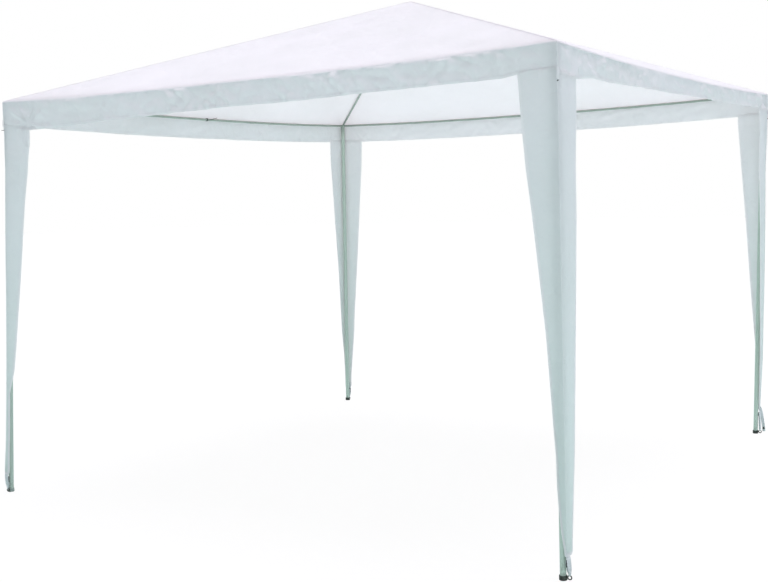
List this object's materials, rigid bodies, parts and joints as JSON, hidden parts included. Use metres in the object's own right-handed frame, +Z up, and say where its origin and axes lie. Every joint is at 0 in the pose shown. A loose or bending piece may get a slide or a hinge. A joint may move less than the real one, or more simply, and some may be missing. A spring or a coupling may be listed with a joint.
{
  "type": "garden pavilion",
  "caption": "Square garden pavilion: a low pyramid roof of white sheet with a short valance, on slim steel tube legs with tapering sheet covers, over a light frame of rails and rafters.",
  "frame": {"origin": "on the ground, under the middle of the whole outline in plan, splayed feet included", "axes": "+Z up; -Y towards the front side; +X towards the right side, as seen from the front"},
  "size_m": [3.1512, 3.0968, 2.5303],
  "materials": {
    "white_sheet": "thin woven polyethylene sheet, slightly shiny, wrinkled",
    "white_tape": "woven tape, matt",
    "coated_steel": "grey-green powder coat, satin",
    "black_plastic": "moulded, semi-gloss"
  },
  "bodies": {
    "root": {"foot_front_right": "black_plastic", "leg_lower_front_right": "coated_steel", "leg_upper_front_right": "coated_steel", "corner_connector_front_right": "coated_steel", "rafter_front_right": "coated_steel", "leg_cover_front_right_left": "white_sheet", "leg_cover_front_right_right": "white_sheet", "cover_strap_front_right": "white_tape", "strap_ring_front_right": "black_plastic", "foot_front_left": "black_plastic", "leg_lower_front_left": "coated_steel", "leg_upper_front_left": "coated_steel", "corner_connector_front_left": "coated_steel", "rafter_front_left": "coated_steel", "leg_cover_front_left_left": "white_sheet", "leg_cover_front_left_right": "white_sheet", "cover_strap_front_left": "white_tape", "strap_ring_front_left": "black_plastic", "foot_back_left": "black_plastic", "leg_lower_back_left": "coated_steel", "leg_upper_back_left": "coated_steel", "corner_connector_back_left": "coated_steel", "rafter_back_left": "coated_steel", "leg_cover_back_left_left": "white_sheet", "leg_cover_back_left_right": "white_sheet", "cover_strap_back_left": "white_tape", "strap_ring_back_left": "black_plastic", "foot_back_right": "black_plastic", "leg_lower_back_right": "coated_steel", "leg_upper_back_right": "coated_steel", "corner_connector_back_right": "coated_steel", "rafter_back_right": "coated_steel", "leg_cover_back_right_left": "white_sheet", "leg_cover_back_right_right": "white_sheet", "cover_strap_back_right": "white_tape", "strap_ring_back_right": "black_plastic", "peak_connector": "coated_steel", "rail_front_left_half": "coated_steel", "rail_front_right_half": "coated_steel", "roof_panel_front": "white_sheet", "valance_front": "white_sheet", "rail_right_left_half": "coated_steel", "rail_right_right_half": "coated_steel", "roof_panel_right": "white_sheet", "valance_right": "white_sheet", "rail_back_left_half": "coated_steel", "rail_back_right_half": "coated_steel", "roof_panel_back": "white_sheet", "valance_back": "white_sheet", "rail_left_left_half": "coated_steel", "rail_left_right_half": "coated_steel", "roof_panel_left": "white_sheet", "valance_left": "white_sheet"}
  },
  "joints": []
}
